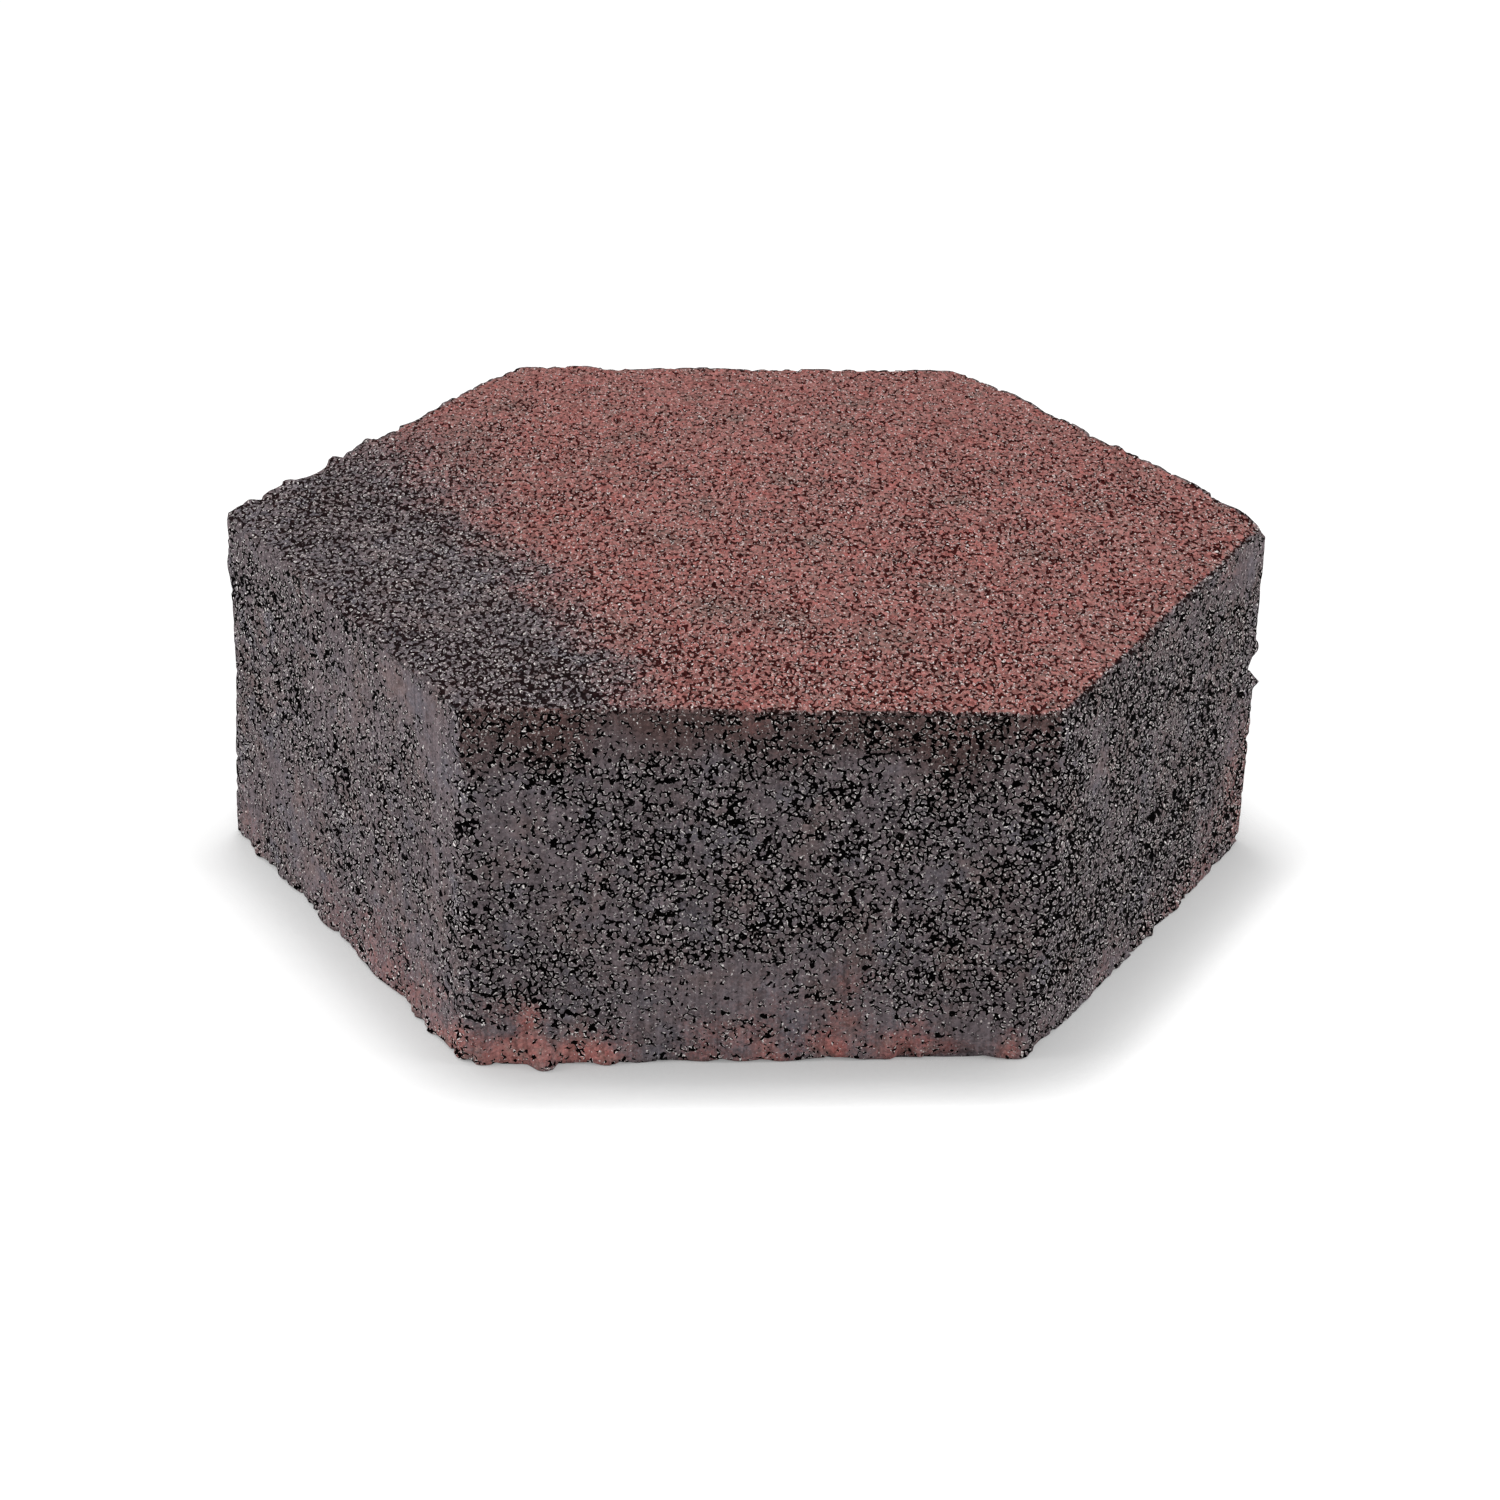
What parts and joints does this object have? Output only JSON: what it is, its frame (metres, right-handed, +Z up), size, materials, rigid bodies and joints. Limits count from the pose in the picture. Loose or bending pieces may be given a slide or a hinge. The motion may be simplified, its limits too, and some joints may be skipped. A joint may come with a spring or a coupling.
{
  "type": "concrete paving stone",
  "caption": "Thick hexagonal concrete paving stone, cast in one piece, with flat bed and wearing faces, straight joint faces and slightly rounded corners.",
  "frame": {"origin": "middle of the bed face, which lies on the ground", "axes": "+Z up to the wearing face, +X through an upright corner, -Y out of the middle of a joint face"},
  "size_m": [0.2328, 0.203, 0.08],
  "materials": {
    "concrete": "matte"
  },
  "bodies": {
    "root": {"paving_stone": "concrete"}
  },
  "joints": []
}
